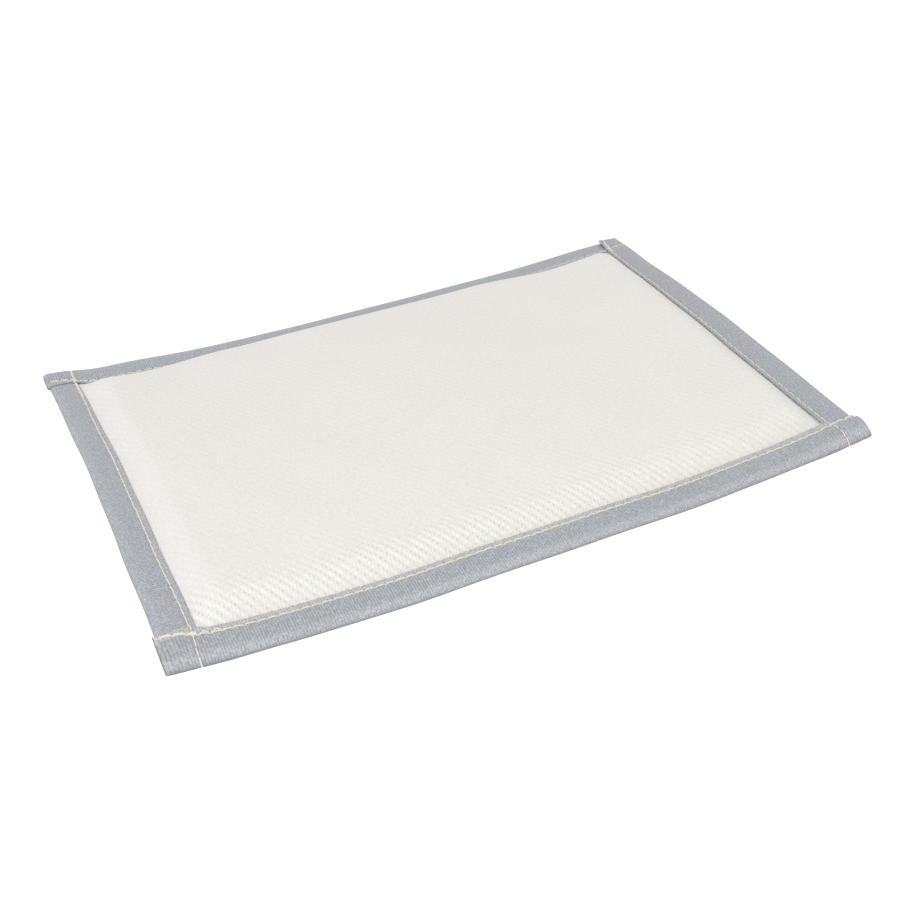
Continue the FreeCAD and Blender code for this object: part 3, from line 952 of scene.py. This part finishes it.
def tape_material():
    """Woven binding tape: ribs across it, each crossed by fine warp yarns, with painted shade between them,
    a painted highlight along its fold and inside its seam, and a painted shadow under the fold where it
    meets the table."""
    g = Graph("binding_tape")
    vector, along, across, painted_highlight_share = g.flat()
    stray = g.noise(vector, 0.3, 1.0)
    column = g.math("DIVIDE", g.scaled(stray, 0.5, along), RIB_PITCH)
    rib = g.math("ABSOLUTE", g.math("SINE", g.times(column, math.pi)))
    odd = g.times(g.math("FLOORED_MODULO", g.math("FLOOR", column), 2.0), 0.5)
    yarn = g.plus(g.math("DIVIDE", across, YARN_PITCH), odd)
    warp = g.math("ABSOLUTE", g.math("SINE", g.times(yarn, math.pi)))
    fuzz = g.noise(vector, 1.6, 4.0)
    height = g.plus(g.times(rib, g.scaled(warp, 0.5, 0.5)), g.times(fuzz, 0.35))
    g.bump(height, 0.13, 0.8)

    cloud = g.noise(vector, 0.12, 2.0)
    grain = g.noise(vector, 1.15, 3.0)
    light = g.mix(cloud, rgb(166, 169, 173), rgb(177, 179, 183))
    # painted shade: darker where the bump is low, in the hollows between the ribs and the yarns
    colour = g.mix(g.ramp(height, 0.05, 0.75), rgb(128, 131, 136), light)
    colour = g.mix(g.times(g.ramp(grain, 0.5, 0.3), 0.5), colour, rgb(132, 135, 142))
    colour = g.mix(g.times(g.ramp(grain, 0.5, 0.72), 0.55), colour, rgb(205, 207, 210))

    # painted highlight: a pale band along the top of the fold, scaled by the edge's share
    spots = g.ramp(g.noise(vector, 2.6, 2.0), 0.38, 0.68)
    painted_fold_highlight = g.times(g.ramp(across, 0.8, 2.2), g.ramp(across, 6.0, 3.0))
    colour = g.mix(g.times(g.times(painted_fold_highlight, painted_highlight_share), spots), colour, rgb(216, 217, 218))
    # painted highlight: the margin inside the seam is paler, scaled by the same per-edge share
    margin = g.ramp(across, SELVEDGE - SEAM_MARGIN - 0.5, SELVEDGE - SEAM_MARGIN)
    painted_margin_highlight = g.times(g.times(margin, painted_highlight_share), g.scaled(spots, 1.1, 0.1))
    colour = g.mix(painted_margin_highlight, colour, rgb(216, 214, 208))
    # painted shadow: darker on the underside of the fold, where it meets the table
    painted_fold_shadow = g.times(g.ramp(across, 1.3, -0.5), g.ramp(across, -4.0, -1.5))
    colour = g.mix(g.times(painted_fold_shadow, 0.75), colour, rgb(96, 99, 105))
    return g.finish(colour, g.scaled(fuzz, 0.2, 0.6), Sheen_Weight=0.2, Sheen_Roughness=0.5)


def thread_material():
    """Spun thread: painted shade darkens the hollows between its plies, and its fibres run with the twist.
    """
    g = Graph("aramid_thread")
    vector, along, angle, _ = g.flat()
    twist = g.times(along, 2 * math.pi / TWIST_PITCH)
    ply = g.math("COSINE", g.times(g.minus(angle, twist), 3.0))
    fuzz = g.noise(vector, 3.0, 3.0)
    height = g.plus(ply, g.times(fuzz, 0.8))
    g.bump(height, 0.03, 0.6)
    light = g.mix(g.noise(vector, 0.2, 2.0), rgb(243, 240, 222), rgb(248, 245, 233))
    # painted shade: darker where the bump is low, between the plies
    colour = g.mix(g.ramp(height, -0.8, 0.9), rgb(206, 200, 166), light)
    return g.finish(colour, g.scaled(fuzz, 0.2, 0.5), Sheen_Weight=0.3)


def felt_material():
    """Needled felt: tangled fibres with scattered needle marks."""
    g = Graph("needled_felt")
    vector, _, _, _ = g.flat()
    tangle = g.noise(vector, 0.9, 5.0)
    marks = g.node("TexVoronoi", inputs={"Vector": vector, "Scale": 0.4})
    height = g.plus(tangle, g.times(g.ramp(marks, 0.0, 0.3), 0.4))
    g.bump(height, 0.3, 0.8)
    # painted shade: darker where the bump is low, in the needle marks and the hollows of the tangle
    colour = g.mix(g.ramp(height, 0.4, 1.2), rgb(188, 184, 172), rgb(226, 222, 210))
    return g.finish(colour, g.scaled(tangle, 0.1, 0.85), Sheen_Weight=0.4)


# ------------------------------------------------ camera, light and floor

CAMERA_AZIMUTH = math.radians(-26.3)
CAMERA_ELEVATION = math.radians(36.46)
CAMERA_ROLL = math.radians(-0.24)
CAMERA_DISTANCE = 0.5195
CAMERA_TARGET = np.array([-0.0077, -0.0214, 0.0])
CAMERA_LENS = 49.25
SENSOR_WIDTH = 36.0
STUDIO_LIGHT = 0.76
FLOOR_GLOW = 1.0
FLOOR_SIZE = 4.0
FLOOR_DROP = 0.05  # mm below the surface that the mat lies on, so that the two don't touch


def make_camera():
    a, e, roll = CAMERA_AZIMUTH, CAMERA_ELEVATION, CAMERA_ROLL
    back = np.array([math.sin(a) * math.cos(e), -math.cos(a) * math.cos(e), math.sin(e)])
    level = np.array([math.cos(a), math.sin(a), 0.0])
    right = level * math.cos(roll) + np.cross(back, level) * math.sin(roll)
    up = np.cross(back, right)
    place = CAMERA_TARGET + back * CAMERA_DISTANCE
    data = bpy.data.cameras.new("camera")
    data.lens = CAMERA_LENS
    data.sensor_width = SENSOR_WIDTH
    data.clip_start = 0.01
    camera = bpy.data.objects.new("camera", data)
    bpy.context.scene.collection.objects.link(camera)
    columns = np.column_stack([right, up, back, place])
    camera.matrix_world = Matrix([*columns.tolist(), [0, 0, 0, 1]])
    bpy.context.scene.camera = camera


def area_light(name, place, size, power, colour=(1, 1, 1)):
    """A round lamp that shines at the mat's middle."""
    data = bpy.data.lights.new(name, "AREA")
    data.shape = "DISK"
    data.size = size
    data.energy = power
    data.color = colour
    lamp = bpy.data.objects.new(name, data)
    lamp.location = place
    lamp.rotation_euler = (-Vector(place)).to_track_quat("-Z", "Y").to_euler()
    bpy.context.scene.collection.objects.link(lamp)


def make_lights():
    """A plain white studio with a key light from the front left and two weaker ones."""
    scene = bpy.context.scene
    scene.view_settings.view_transform = "Standard"
    studio = bpy.data.worlds.new("studio")
    studio.use_nodes = True
    background = studio.node_tree.nodes["Background"]
    background.inputs["Color"].default_value = (1.0, 1.0, 1.0, 1.0)
    background.inputs["Strength"].default_value = STUDIO_LIGHT
    scene.world = studio
    area_light("key", (-0.47, -0.62, 0.87), 0.6, 4.0)
    area_light("rim", (1.0, 0.7, 0.9), 0.7, 1.6)
    area_light("fill", (-1.3, 0.1, 0.5), 0.7, 2.3, (0.55, 0.70, 1.0))


def make_floor():
    """A white table that glows, so that the mat casts no shadow on it."""
    g = Graph("floor")
    grain = g.noise(g.node("TexCoord", output="Object"), 40.0, 2.0)
    colour = g.mix(grain, (0.20, 0.20, 0.20, 1), (0.24, 0.24, 0.24, 1))
    material = g.finish(colour, 0.9, Emission_Color=(1, 1, 1, 1), Emission_Strength=FLOOR_GLOW)
    size = FLOOR_SIZE
    corners = [(-size, -size, 0), (size, -size, 0), (size, size, 0), (-size, size, 0)]
    mesh = bpy.data.meshes.new("floor")
    mesh.from_pydata(corners, [], [(0, 1, 2, 3)])
    mesh.materials.append(material)
    floor = bpy.data.objects.new("floor", mesh)
    floor.location.z = -FLOOR_DROP * MM
    bpy.context.scene.collection.objects.link(floor)


# ------------------------------------------------ everything together

def dress(piece, material, node):
    """Give a piece its material, and have it stand for a CAD node."""
    piece.data.materials.append(material)
    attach(piece, BODY)
    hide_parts(node)


make_camera()
make_lights()
make_floor()

woven = woven_material()
top = make_cloth("top_cloth_woven", top_height, CLOTH_THICKNESS, (361, 249))
dress(top, woven, "top_cloth")
bottom = make_cloth("bottom_cloth_woven", bottom_height, -CLOTH_THICKNESS, (241, 161))
dress(bottom, woven, "bottom_cloth")

felt = felt_material()
upper = make_felt("felt_upper_pad", lambda s, y: split_height(s, y) + FELT_GAP, room_top)
dress(upper, felt, "felt_upper")
lower = make_felt("felt_lower_pad", room_floor, lambda s, y: split_height(s, y) - FELT_GAP)
dress(lower, felt, "felt_lower")

ribbed = tape_material()
tapes = {edge.name: make_tape(edge) for edge in EDGES}
for side, tape in tapes.items():
    dress(tape, ribbed, "binding_" + side)

spun = thread_material()
for edge in EDGES:
    for face, kind in ((1, "needle"), (-1, "bobbin")):
        dress(make_thread(edge, face), spun, f"{kind}_thread_{edge.name}")

for edge in EDGES:
    length = sum(edge.reach + (TAPE_OVERHANG if past else -COVERED_END) for past in edge.over)
